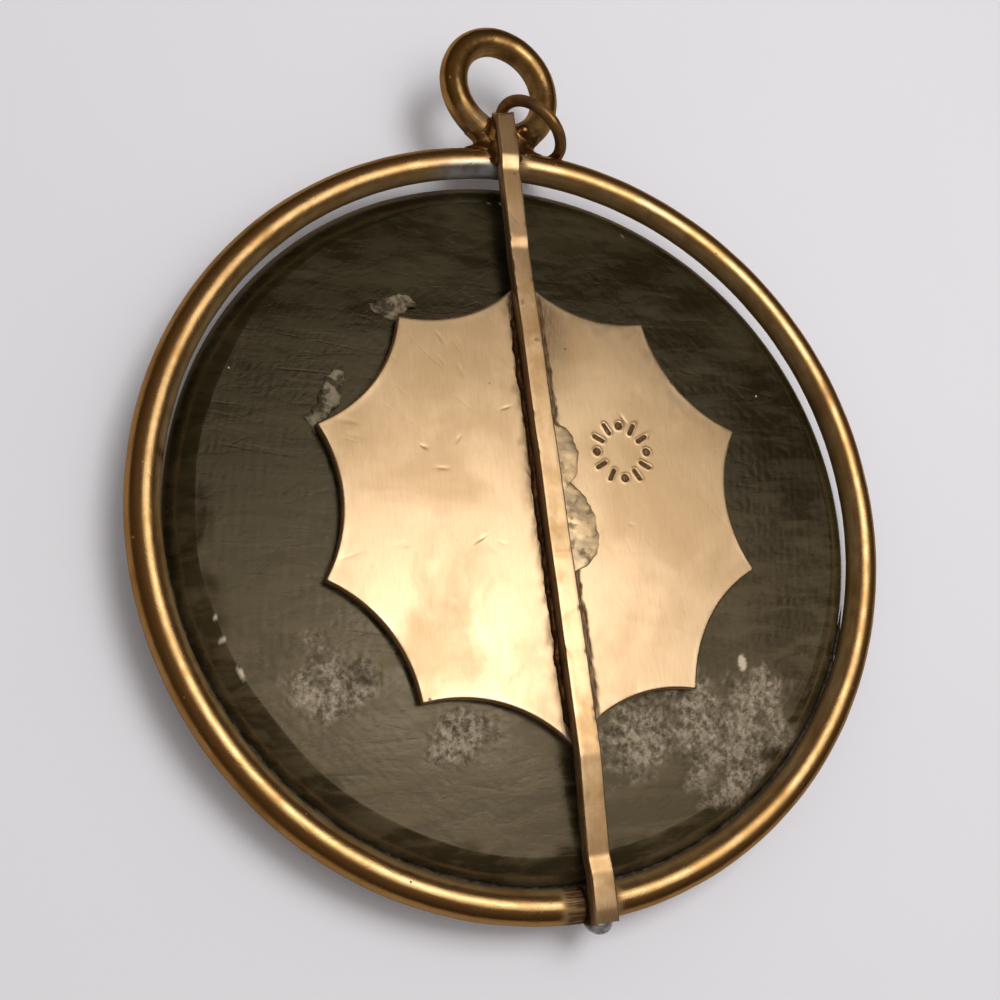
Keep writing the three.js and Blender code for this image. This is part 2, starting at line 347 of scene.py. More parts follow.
def makeBrass(name, look):
    material, tree, shader, grain = newMaterial(name, Metallic=1.0)
    cloud = useGroup(tree, patchyCloud, Vector=grain, Size=look["cloudSize"], Low=0.4, High=0.66)[0]
    stainFrom = look["stainFrom"]
    stainAndShade = useGroup(tree, patchyCloud, Vector=grain, Size=look["stainSize"], Low=stainFrom, High=0.72)[0]
    lines = useGroup(tree, brushedLines, Vector=grain, Pitch=look["pitch"], Run=look["run"])[0]
    coarse = useGroup(tree, brushedLines, Vector=grain, Pitch=look["pitch"] * 5, Run=look["run"] * 2)[0]
    apart = look["scratchSpacing"]
    nicks = useGroup(tree, strayScratches, Vector=grain, Spacing=apart, Bearing=0.7)[0]
    cuts = useGroup(tree, strayScratches, Vector=grain, Spacing=apart * 1.3, Bearing=-0.25)[0]
    pits = useGroup(tree, scatteredPits, Vector=grain, Spacing=look["pitSpacing"], Share=look["pitShare"])[0]
    wear, grimeAndShade = maskOf(tree, "wear"), maskOf(tree, "grimeAndShade")

    colour = mixColours(tree, cloud, look["bright"], look["deep"])
    streak = spread(tree, coarse, 0.4, 0.7, 0.0, look["streak"])
    colour = mixColours(tree, streak, colour, look["stainAndShade"])
    stained = maths(tree, "MULTIPLY", stainAndShade, look["stainShare"])
    colour = mixColours(tree, stained, colour, look["stainAndShade"])
    # grime and painted shade from the mesh, darkening the colour
    darkened = useGroup(tree, brokenGrime, Grime=grimeAndShade, Lines=lines, Pits=pits)[0]
    rubbed = maths(tree, "MULTIPLY", wear, look["wearShare"])
    colours = {"Colour": colour, "Dirt_Colour": look["grimeAndShade"], "Rubbed_Colour": look["rubbed"]}
    colour = useGroup(tree, wornSkin, Dirt=darkened, Wear=rubbed, **colours)[0]
    colour = mixColours(tree, maskOf(tree, "tinned"), colour, tinColour)
    tree.links.new(colour, shader.inputs["Base Color"])

    rough = spread(tree, cloud, 0.0, 1.0, look["rough"][0], look["rough"][1], "LINEAR")
    rough = maths(tree, "MULTIPLY_ADD", lines, 0.1, rough)
    rough = maths(tree, "MULTIPLY_ADD", stained, 0.14, rough)
    rough = maths(tree, "MULTIPLY_ADD", darkened, look["grimeAndShadeRough"], rough)
    rough = maths(tree, "SUBTRACT", rough, maths(tree, "MULTIPLY", wear, 0.08))
    tree.links.new(maths(tree, "MAXIMUM", rough, 0.08), shader.inputs["Roughness"])
    metal = maths(tree, "SUBTRACT", 1.0, maths(tree, "MULTIPLY", darkened, look["grimeAndShadeCover"]))
    tree.links.new(metal, shader.inputs["Metallic"])

    height = maths(tree, "MULTIPLY", lines, look["lineDepth"])
    height = maths(tree, "MULTIPLY_ADD", coarse, look["lineDepth"] * 1.6, height)
    height = maths(tree, "SUBTRACT", height, maths(tree, "MULTIPLY", nicks, 0.5))
    height = maths(tree, "SUBTRACT", height, maths(tree, "MULTIPLY", cuts, 0.4))
    height = maths(tree, "SUBTRACT", height, maths(tree, "MULTIPLY", pits, 1.4))
    addBump(tree, shader, height, look["bump"])
    return material


hoopLook = {
    "wander": 0.008,  # mm that the wire's thickness wanders
    "wanderSize": 3.0,
    "rub": 0.0025,
    "rubSize": 0.4,
    "shrink": 0.012,  # keeps the fine wire inside the faceted one
    "seam": 0.24,
    "steps": 900,
    "sides": 40,
    "footGrime": (0.385, 1.75),  # where the painted shadow and reflection of the strap's foot lie on the wire, and half their width
    # where the painted shadow and reflection of the strap's head lie, and half their width
    "headGrime": (-0.1, 1.3),
}
hoopFinish = {
    "bright": (0.78, 0.52, 0.24, 1), "deep": (0.66, 0.4, 0.15, 1), "stainAndShade": (0.34, 0.17, 0.06, 1),
    # the next colour is laid over grime and over painted shade
    "grimeAndShade": (0.055, 0.022, 0.007, 1), "rubbed": (0.9, 0.68, 0.38, 1),
    "cloudSize": 2.5, "stainSize": 5.0, "stainFrom": 0.54, "stainShare": 0.5, "streak": 0.2,
    "pitch": 0.07, "run": 2.6, "lineDepth": 0.5, "scratchSpacing": 1.5, "pitSpacing": 0.7, "pitShare": 0.1,
    "wearShare": 0.0, "rough": (0.2, 0.27), "bump": 4, "grimeAndShadeRough": 0.4, "grimeAndShadeCover": 0.75,
}


def wireRings(middle, wire, angles, sides, place, look, seed):
    side = np.linspace(0, turn, sides, endpoint=False)
    bearing, around = np.meshgrid(angles, side, indexing="ij")
    outward = np.stack([np.cos(bearing), np.sin(bearing), np.zeros_like(bearing)], -1)
    core = outward * middle
    away = outward * np.cos(around)[..., None]
    away[..., 2] = np.sin(around)
    points = core + away * (wire / 2 - look["shrink"])
    depth = look["wander"] * waves(points, look["wanderSize"], seed)
    depth += look["rub"] * waves(points, look["rubSize"], seed + 1)
    points = points + away * np.minimum(depth, look["shrink"])[..., None]
    grain = np.stack([bearing * middle, np.cos(around) * wire / 2, np.sin(around) * wire / 2], -1)
    return placed(points, place), grain, core


def makeHoop():
    look = hoopLook
    half = look["seam"] / 2 / hoopMiddle
    angles = np.linspace(-turn / 4 + half, turn * 3 / 4 - half, look["steps"])
    rings, grain, core = wireRings(hoopMiddle, hoopWire, angles, look["sides"], hoopPlace, look, 13)
    ends = placed(core[[0, -1], 0], hoopPlace)
    points, faces = loft(rings, ends[:1], ends[1:])
    grain = np.vstack([grain.reshape(-1, 3), grain[0, :1], grain[-1, :1]])
    local = unplaced(points, hoopPlace)
    x, y, z = local.T
    far = np.hypot(x, y)
    inner = smoothstep(-0.5, -0.95, (far - hoopMiddle) / (hoopWire / 2))
    under = smoothstep(-0.3, -0.9, z / (hoopWire / 2))
    footAt, footHalf = look["footGrime"]
    headAt, headHalf = look["headGrime"]
    foot = np.exp(-(((x - footAt) / footHalf) ** 8)) * smoothstep(-20, -23, y)
    head = np.exp(-(((x - headAt) / headHalf) ** 4)) * smoothstep(20, 23, y)
    # painted shade on the wire's inner side, towards the stone, and on its underside
    dirtAndShade = np.clip(0.5 * inner + 0.25 * under, 0, 0.9) * (0.75 + 0.25 * waves(points, 0.9, 14))
    # painted shadow and reflection of the strap where it crosses the wire at the foot and the head
    atEnds = (0.95 * foot + 0.8 * head) * (1 + 0.15 * waves(points, 0.6, 15))
    dirtAndShade = np.maximum(dirtAndShade, np.clip(atEnds, 0, 0.93))
    # a film of solder left of the strap's head, on the inner side of the wire
    silver = smoothstep(1.2, 0.2, np.abs(z - 0.35)) * smoothstep(23.9, 23.3, far)
    silver *= smoothstep(-6.0, -3.2, x) * smoothstep(-0.6, -1.4, x) * (y > 0)
    masks = {"wear": np.zeros(len(points)), "grimeAndShade": np.clip(dirtAndShade, 0, 1), "tinned": silver}
    material = makeBrass("hoopBrass", hoopFinish)
    makePiece("hoop_wire", points, faces, material, ["hoop"], "pendant", grain, masks)


makeHoop()
print("hoop made")

bailLook = {
    "middle": 3.5, "wire": 1.94, "wander": 0.009, "wanderSize": 2.2, "rub": 0.003, "rubSize": 0.4,
    "shrink": 0.03, "steps": 240, "sides": 48,
}
bailFinish = dict(
    hoopFinish,
    bright=(0.74, 0.49, 0.2, 1), deep=(0.54, 0.32, 0.11, 1), stainAndShade=(0.26, 0.12, 0.04, 1),
    stainShare=0.6, stainFrom=0.5, rough=(0.17, 0.26), cloudSize=1.6, stainSize=3.0, scratchSpacing=1.0,
)


def makeBail():
    look = bailLook
    angles = np.linspace(0, turn, look["steps"], endpoint=False)
    rings, grain, _ = wireRings(look["middle"], look["wire"], angles, look["sides"], bailPlace, look, 21)
    points, faces = ringLoft(rings)
    local = unplaced(points, bailPlace)
    # painted shade and reflection of the strap at the bail's root on the hoop, and a little painted shade on
    # the ring's inner side
    root = smoothstep(-1.6, -3.6, local[:, 1]) * np.clip(0.75 + 0.3 * waves(points, 1.0, 22), 0, 1)
    inner = smoothstep(3.1, 2.6, np.hypot(local[:, 0], local[:, 1]))
    masks = {"wear": np.zeros(len(points)), "grimeAndShade": np.clip(0.75 * root + 0.25 * inner, 0, 0.9)}
    material = makeBrass("bailBrass", bailFinish)
    grain = grain.reshape(-1, 3)
    makePiece("bail_wire", points, faces, material, ["bail_ring"], "pendant", grain, masks)


makeBail()
print("bail ring made")

jumpLook = {
    "middle": 2.46, "wire": 0.86, "bearing": -50, "twist": 8,  # mm and degrees
    "butt": 4, "buttBearing": -70, "step": 0.03,  # the cut's width and place, and how far its ends miss
    "wander": 0.006, "wanderSize": 1.2, "rub": 0.002, "rubSize": 0.3, "shrink": 0.03,
    "steps": 200, "sides": 32,
}
jumpFinish = dict(
    bailFinish, bright=(0.5, 0.27, 0.09, 1), deep=(0.3, 0.13, 0.04, 1), stainAndShade=(0.14, 0.05, 0.018, 1),
    rough=(0.2, 0.3), cloudSize=1.0, stainSize=1.8,
)


def makeJumpRing():
    look = jumpLook
    place = (
        bailPlace
        @ Matrix.Rotation(math.radians(look["bearing"]), 4, "Z")
        @ Matrix.Translation((bailLook["middle"], 0, 0))
        @ Matrix.Rotation(math.radians(look["twist"]), 4, "Z")
        @ Matrix.Rotation(turn / 4, 4, "X")
        @ Matrix.Rotation(math.radians(look["buttBearing"]), 4, "Z")
    )
    angles = np.linspace(math.radians(look["butt"]), turn, look["steps"])
    rings, grain, core = wireRings(look["middle"], look["wire"], angles, look["sides"], place, look, 34)
    # the two ends don't quite line up
    ends = placed(core[[0, -1], 0], place)
    sideways = np.array(place)[:3, 2]
    nearStart = smoothstep(0.5, 0.0, angles - angles[0])[:, None, None]
    rings = rings + sideways * look["step"] * nearStart
    points, faces = loft(rings, ends[:1] + sideways * look["step"], ends[1:])
    grain = np.vstack([grain.reshape(-1, 3), grain[0, :1], grain[-1, :1]])
    dirtAndShade = np.clip(0.35 + 0.4 * waves(points, 1.5, 35), 0, 0.75)
    masks = {"wear": np.zeros(len(points)), "grimeAndShade": dirtAndShade}
    material = makeBrass("jumpBrass", jumpFinish)
    makePiece("jump_wire", points, faces, material, ["jump_ring"], "loose_ring", grain, masks)


makeJumpRing()
print("jump ring made")

plateLook = {
    "reach": 15, "dip": 0.13, "soft": 0.055,  # soft rounds the points off
    "stray": [-0.1, 0.6, -0.2, 0, 0.15, -0.1, 0.05, 0.05, -0.45, 0.25],  # mm, clockwise from the bail
    "slip": [0, -1.6, 0, 0, 0.7, 0, 0.8, 0.6, 1, 0.4],  # degrees
    "angles": 960, "edge": 0.14, "waviness": 0.006,
    "stampCentre": (5.7, 3.3), "stampRadius": 1.78, "stampMarks": 12, "stampDepth": 0.11, "stampLip": 0.02,
    "tick": 0.62, "tickWidth": 0.17, "dot": 0.21,
    "dings": 46, "dingDepth": 0.016,
}
plateFinish = {
    "bright": (0.83, 0.61, 0.37, 1), "deep": (0.75, 0.53, 0.3, 1), "stainAndShade": (0.42, 0.27, 0.12, 1),
    # the next colour is laid over grime and over painted shade
    "grimeAndShade": (0.1, 0.05, 0.018, 1), "rubbed": (0.95, 0.8, 0.56, 1),
    "cloudSize": 6.0, "stainSize": 4.5, "stainFrom": 0.5, "stainShare": 0.12, "streak": 0.12,
    "pitch": 0.035, "run": 0.7, "lineDepth": 0.5, "scratchSpacing": 2.4, "pitSpacing": 1.3, "pitShare": 0.035,
    "wearShare": 0.5, "rough": (0.27, 0.34), "bump": 4, "grimeAndShadeRough": 0.25, "grimeAndShadeCover": 0.3,
}


def starReach(angles, inset=0.0):  # how far the star's edge is from the middle at each bearing
    look = plateLook
    tips = []
    for i, (stray, slip) in enumerate(zip(look["stray"], look["slip"])):
        bearing = turn / 4 - i * turn / len(look["stray"]) - math.radians(slip)
        reach = look["reach"] + stray - inset
        tips.append(np.array([math.cos(bearing), math.sin(bearing)]) * reach)
    total = np.zeros_like(angles)
    for here, there in zip(tips, tips[1:] + tips[:1]):
        chord = np.linalg.norm(there - here)
        dip = look["dip"] * chord
        radius = chord**2 / (8 * dip) + dip / 2
        middle = (here + there) / 2
        centre = middle * (1 + (radius - dip) / np.linalg.norm(middle))
        along = np.cos(angles) * centre[0] + np.sin(angles) * centre[1]
        under = along**2 - (centre @ centre - radius**2)
        reach = np.where((under > 0) & (along > 0), along - np.sqrt(np.abs(under)), 1e3)
        total += np.exp(-(reach - look["reach"]) / look["soft"])
    return look["reach"] - look["soft"] * np.log(total)


def stampHeight(x, y):  # a plain ring of ticks and punched dots
    look = plateLook
    centre = look["stampCentre"]
    far = np.hypot(x - centre[0], y - centre[1])
    bearing = np.arctan2(y - centre[1], x - centre[0])
    each = turn / look["stampMarks"]
    number = np.round(bearing / each)
    off = far * (bearing - number * each)
    out = far - look["stampRadius"]
    tick = np.hypot(off, np.maximum(np.abs(out) - look["tick"] / 2, 0)) - look["tickWidth"] / 2
    dot = np.hypot(off, out) - look["dot"]
    edge = np.where(number % 3 == 0, dot, tick)
    dip = -look["stampDepth"] * smoothstep(0.05, -0.06, edge)
    return dip + look["stampLip"] * np.exp(-(((edge - 0.11) / 0.06) ** 2))


def dingHeight(x, y, count, depth, area, seed):
    rng = np.random.default_rng(seed)
    total = np.zeros_like(x)
    for _ in range(count):
        far, bearing = area * math.sqrt(rng.uniform()), rng.uniform(0, turn)
        cx, cy, lean = far * math.cos(bearing), far * math.sin(bearing), rng.uniform(0, math.pi)
        long, wide = rng.uniform(0.12, 0.4), rng.uniform(0.06, 0.12)
        u = (x - cx) * math.cos(lean) + (y - cy) * math.sin(lean)
        v = (y - cy) * math.cos(lean) - (x - cx) * math.sin(lean)
        total -= depth * rng.uniform(0.4, 1.5) * np.exp(-((u / long) ** 2) - (v / wide) ** 2)
    return total


def polarRings(shares, angles, reach):
    return np.stack([np.outer(shares, reach * np.cos(angles)), np.outer(shares, reach * np.sin(angles))], -1)


def makePlate():
    look = plateLook
    angles = np.linspace(0, turn, look["angles"], endpoint=False)
    reach = starReach(angles)
    spans = [(0.04, 0.28, 6), (0.3, 0.665, 68), (0.69, 0.975, 12)]  # close together where the stamp is
    shares = np.concatenate([np.linspace(*span) for span in spans])
    flat = polarRings(shares, angles, reach)
    x, y = flat[..., 0], flat[..., 1]
    along = np.stack([x, y, np.zeros_like(x)], -1)
    z = plateTop - look["waviness"] + look["waviness"] * waves(along, 5.5, 5)
    z += stampHeight(x, y) + dingHeight(x, y, look["dings"], look["dingDepth"], look["reach"], 6)
    top = np.stack([x, y, z], -1)
    rows = [top]
    for step in range(7):  # the rounded upper edge
        a = step / 6 * turn / 4
        inset = look["edge"] * (1 - math.sin(a)) * 1.4
        drop = look["edge"] * (1 - math.cos(a))
        ring = polarRings(np.ones(1), angles, reach - inset)
        height = np.full(ring.shape[:2], plateTop - look["waviness"] - drop)
        rows.append(np.concatenate([ring, height[..., None]], -1))
    for share in (0.5, 1.0):
        ring = polarRings(np.ones(1), angles, reach - 0.02 * share)
        height = np.full(ring.shape[:2], (plateTop - look["edge"]) * (1 - share) + plateBase * share)
        rows.append(np.concatenate([ring, height[..., None]], -1))
    rings = np.concatenate(rows)
    middleTop = np.array([[0, 0, top[0, :, 2].mean()]])
    points, faces = loft(rings, middleTop, np.array([[0, 0, plateBase]]))
    bearing = np.arctan2(points[:, 1], points[:, 0]) % turn
    inside = np.interp(bearing, angles, reach, period=turn) - np.hypot(points[:, 0], points[:, 1])
    px, py, pz = points.T
    wear = smoothstep(0.5, 0.02, inside) * (pz > plateTop - 0.1)
    # painted shade on the plate's side wall
    wallShade = smoothstep(plateTop - 0.12, plateTop - 0.3, pz) * 0.85
    stampDirt = smoothstep(plateTop - 0.03, plateTop - 0.09, pz) * (inside > 0.5) * 0.85
    # painted shade: a faint wide band along the strap, then a dark line close to it that paints the strap's
    # shadow and its reflection in the plate, wider away from the solder
    beside = np.abs(px - strapXAt(py)) - strapLook["width"] / 2 + 0.01
    stainAndShade = smoothstep(0.9, 0.0, beside - 0.25 * waves(points, 1.1, 9)) * 0.5
    ragged = beside + 0.05 * waves(points, 0.5, 91) + 0.05 * waves(points, 2.2, 92)
    ragged -= 0.34 * (px > strapXAt(py))
    line = smoothstep(0.5, 0.26, ragged) * 0.93
    # painted shade on the plate right of the strap's upper half
    shade = 0.6 * np.exp(-(((px - 1.4) / 1.7) ** 2)) * smoothstep(5.5, 13, py)
    # darker near the edge towards the upper right
    corner = smoothstep(6, 15, px * 0.55 + py * 0.84) * smoothstep(2.6, 0.0, inside)
    corner *= 0.45 * (0.6 + 0.4 * waves(points, 0.8, 10))
    dirtAndShade = np.maximum.reduce([wallShade, stampDirt, stainAndShade, line, shade, corner])
    grain = points[:, [1, 0, 2]]
    masks = {"wear": wear * (0.6 + 0.4 * waves(points, 1.5, 11)).clip(0, 1), "grimeAndShade": dirtAndShade.clip(0, 1)}
    material = makeBrass("plateBrass", plateFinish)
    makePiece("star_plate", points, faces, material, ["back_plate"], "pendant", grain, masks)


strapLook = {
    "width": 1.42, "thickness": 0.9, "taper": 0.0034, "skew": 1.35, "shift": 0.22, "seat": 0.02,
    "corner": 0.12, "bend": 0.1, "step": 0.1, "headLift": 0.16,
    "cutFrom": 26.58, "cutSkew": 0.22, "cutSlope": 1.5, "cutMost": 0.62,  # the head's clipped corner
    # dirty pits: mm across and along the strap, and how big
    "spots": [(0.25, 22.3, 0.2), (-0.35, 13.1, 0.14), (0.3, 10.4, 0.12), (0.1, -9.6, 0.1)],
}
strapFinish = dict(
    plateFinish,
    bright=(0.86, 0.61, 0.35, 1), deep=(0.7, 0.46, 0.22, 1), stainAndShade=(0.36, 0.2, 0.08, 1),
    rough=(0.26, 0.34), cloudSize=2.5, stainSize=3.2, stainShare=0.4, pitShare=0.06, wearShare=0.85,
    pitch=0.06, run=1.2,
)
strapSkew = math.radians(strapLook["skew"])
strapTurn = Matrix.Translation((strapLook["shift"], 0, 0)) @ Matrix.Rotation(strapSkew, 4, "Z")


def hoopCrest(y):  # the top of the hoop's wire
    return hoopHeight + y * math.tan(math.asin(hoopSlope)) + hoopWire / 2


def strapXAt(y):
    return strapLook["shift"] - y * math.sin(strapSkew)


def strapMiddle(y):  # the height of the strap's mid-thickness
    look = strapLook
    rest = plateTop + look["seat"]
    head, foot = hoopCrest(24), hoopCrest(-24)
    under = [
        (-25, foot - 0.1), (-24.2, foot + 0.05), (-22.1, foot + 0.12), (-21.3, foot - 0.03),
        (-15.6, rest), (17.05, rest), (17.7, rest + 0.12),
        (22.6, head - 0.2), (23.45, head + 0.08), (27, head + look["headLift"]),
    ]
    ys, zs = zip(*under)
    offsets = np.linspace(-2, 2, 9)
    weights = np.exp(-(offsets**2) / 2)
    height = sum(w * np.interp(y + o * look["bend"], ys, zs) for o, w in zip(offsets, weights))
    return height / weights.sum() + look["thickness"] / 2


def roundedLoop(halfWide, halfHigh, corner, flats=5, arc=7):  # a flat wire's outline
    corners = [(1, 1), (-1, 1), (-1, -1), (1, -1)]
    half = np.array([halfWide - corner, halfHigh - corner])
    arcs = []
    for quarter, signs in enumerate(corners):
        a = np.linspace(0, turn / 4, arc) + quarter * turn / 4
        arcs.append(np.array(signs) * half + corner * np.stack([np.cos(a), np.sin(a)], -1))
    loop = []
    for here, there in zip(arcs, arcs[1:] + arcs[:1]):
        steps = np.arange(1, flats + 1)[:, None] / (flats + 1)
        loop += [here, here[-1] + (there[0] - here[-1]) * steps]
    return np.concatenate(loop)


def makeStrap():
    look = strapLook
    ys = np.arange(26.97, -24.97, -look["step"])
    loop = roundedLoop(look["width"] / 2, look["thickness"] / 2, look["corner"])
    x = np.tile(loop[:, 0], (len(ys), 1))
    z = np.tile(loop[:, 1], (len(ys), 1))
    y = np.tile(ys[:, None], (1, len(loop)))
    wide = 1 - y * look["taper"] / look["width"]
    corner = smoothstep(0.55, 0.7, np.abs(x)) * smoothstep(0.25, 0.42, z)
    along = np.stack([x * 0.6, y, z * 0.4], -1)
    nick = smoothstep(0.7, 1.7, waves(along, 0.55, 8)) * corner
    file = 0.006 * waves(along, 2.4, 7)
    x = x * wide * (1 - 0.035 * nick) + 0.012 * waves(np.stack([0 * y, y, 0 * y], -1), 4.0, 4)
    z = z - 0.035 * nick + np.where(z > 0, file - 0.006, 0)
    cut = (y - look["cutFrom"] - look["cutSkew"] * x) * look["cutSlope"]
    z = np.minimum(z, look["thickness"] / 2 - np.clip(cut, 0, look["cutMost"]))
    rings = placed(np.stack([x, y, z + strapMiddle(ys)[:, None]], -1), strapTurn)
    points, faces = loft(rings, rings[0].mean(0)[None], rings[-1].mean(0)[None])
    edge = np.append(corner.ravel(), [0, 0])
    rub = (0.55 + 0.5 * waves(points, 0.9, 12)).clip(0, 1)
    # painted shade on the strap's sides and underside
    low = smoothstep(0.2, -0.3, np.append(z.ravel(), [0, 0])) * 0.8
    foot = smoothstep(-23.2, -25, points[:, 1]) * 0.5
    dirtAndShade = np.maximum(low, foot)
    for sx, sy, size in look["spots"]:
        away = np.hypot(points[:, 0] - strapXAt(sy) - sx, (points[:, 1] - sy) * 0.7) / size
        dirtAndShade = np.maximum(dirtAndShade, 0.7 * smoothstep(1.2, 0.4, away + 0.3 * waves(points, 0.3, 93)))
    masks = {"wear": edge * rub, "grimeAndShade": dirtAndShade}
    material = makeBrass("strapBrass", strapFinish)
    grain = points[:, [1, 0, 2]]
    makePiece("bent_strap", points, faces, material, ["back_strap"], "pendant", grain, masks)


makePlate()
print("plate made")
makeStrap()
print("strap made")

stoneLook = {
    "flat": 21.2, "girdleLow": 1.2, "girdleHigh": 2.3, "angles": 600, "shrink": 0.01,
    "swell": 0.012, "swellSize": 7.0, "mottle": 0.05, "mottleSize": 0.45, "grit": 0.016, "gritSize": 0.26,
    "roughSpots": [  # where the stone is broken rather than polished: x, y and how far it reaches
        (-13.8, -10.4, 2.1), (-6.8, -13.7, 1.8), (4.6, -14.6, 2.9),
        (10.4, -16.0, 3.1), (13.2, -13.9, 2.6), (9.0, -13.4, 2.2),
    ],
    "chips": 26, "chipRadius": 21.35, "chipDepth": 0.09,
    "chipHighlights": [(-162.6, 0.16), (-158.9, 0.2), (-153.6, 0.34)],  # painted highlights on chips in the shoulder: degrees, mm
    "fleck": (12.7, -10.65, 0.3, 0.55),  # one pale fleck: x, y and half sizes
    "shoulderStray": 0.1,
}


def roughShare(x, y):
    total = np.zeros_like(x)
    ragged = 0.28 * waves(np.stack([x, y, 0 * x], -1), 1.6, 17)
    for cx, cy, size in stoneLook["roughSpots"]:
        total = np.maximum(total, smoothstep(1.3, 0.5, np.hypot(x - cx, y - cy) / size + ragged))
    return total


def makeStoneMaterial():
    material, tree, shader, grain = newMaterial("darkStone", IOR=1.6, Specular_Tint=(1.0, 0.84, 0.56, 1))
    spots = maskOf(tree, "rough")
    lower = maskOf(tree, "lower")
    drift = stretched(tree, grain, (0.3, 1.0, 1.0))
    cloud = useGroup(tree, patchyCloud, Vector=drift, Size=4.0, Low=0.42, High=0.68)[0]
    wisps = useGroup(tree, patchyCloud, Vector=drift, Size=1.1, Low=0.4, High=0.66)[0]
    blotch = useGroup(tree, patchyCloud, Vector=grain, Size=1.5, Low=0.38, High=0.56)[0]
    specks = useGroup(tree, scatteredPits, Vector=grain, Spacing=1.9, Share=0.1, Width=0.05)[0]
    scuffs = useGroup(tree, strayScratches, Vector=grain, Spacing=2.2, Bearing=0.15)[0]
    faint = useGroup(tree, strayScratches, Vector=grain, Spacing=1.4, Bearing=-0.5)[0]
    grit = useGroup(tree, fineGrit, Vector=grain, Fineness=3.2, Detail=8.0, Harshness=0.72)[0]
    colour = mixColours(tree, cloud, (0.008, 0.0068, 0.0024, 1), (0.022, 0.0175, 0.0072, 1))
    # light wisps in the stone, made much stronger in the lower half where the key light's glare falls:
    # painted sheen
    hazeAndSheen = maths(tree, "MULTIPLY", wisps, spread(tree, lower, 0.0, 1.0, 0.08, 0.9, "LINEAR"))
    colour = mixColours(tree, hazeAndSheen, colour, (0.082, 0.062, 0.032, 1))
    # the lower half lightened as painted sheen of the key light
    colour = mixColours(tree, maths(tree, "MULTIPLY", lower, 0.35), colour, (0.05, 0.035, 0.016, 1))
    # the broken patches paler, partly the rough stone and partly painted sheen of the key light
    broken = maths(tree, "MULTIPLY", spots, spread(tree, blotch, 0.0, 1.0, 0.35, 1.0, "LINEAR"))
    # painted glints: cream on the peaks of the relief, leaving its hollows dark as painted shade
    peaks = maths(tree, "MULTIPLY_ADD", maskOf(tree, "crag"), 0.12, grit)
    paintedGlint = maths(tree, "MULTIPLY", broken, spread(tree, peaks, 0.46, 0.82, kind="LINEAR"))
    colour = mixColours(tree, broken, colour, (0.1, 0.076, 0.047, 1))
    colour = mixColours(tree, paintedGlint, colour, (0.66, 0.56, 0.41, 1))
    colour = mixColours(tree, specks, colour, (0.4, 0.38, 0.34, 1))
    colour = mixColours(tree, maskOf(tree, "pale"), colour, (0.5, 0.42, 0.3, 1))
    tree.links.new(colour, shader.inputs["Base Color"])
    tree.links.new(maths(tree, "MULTIPLY", paintedGlint, 0.65), shader.inputs["Metallic"])  # metallic where the glints are painted, so they also mirror the key light
    rough = spread(tree, cloud, 0.0, 1.0, 0.19, 0.26, "LINEAR")
    rough = maths(tree, "MULTIPLY_ADD", wisps, 0.15, rough)
    rough = maths(tree, "MULTIPLY_ADD", spots, 0.08, rough)
    tree.links.new(rough, shader.inputs["Roughness"])
    fine = maths(tree, "MULTIPLY_ADD", lower, 0.05, 0.03)
    height = maths(tree, "MULTIPLY", grit, maths(tree, "MAXIMUM", spots, fine))
    height = maths(tree, "MULTIPLY_ADD", wisps, 0.07, height)
    height = maths(tree, "SUBTRACT", height, maths(tree, "MULTIPLY", scuffs, 0.05))
    height = maths(tree, "SUBTRACT", height, maths(tree, "MULTIPLY", faint, 0.03))
    addBump(tree, shader, height, 90)
    return material


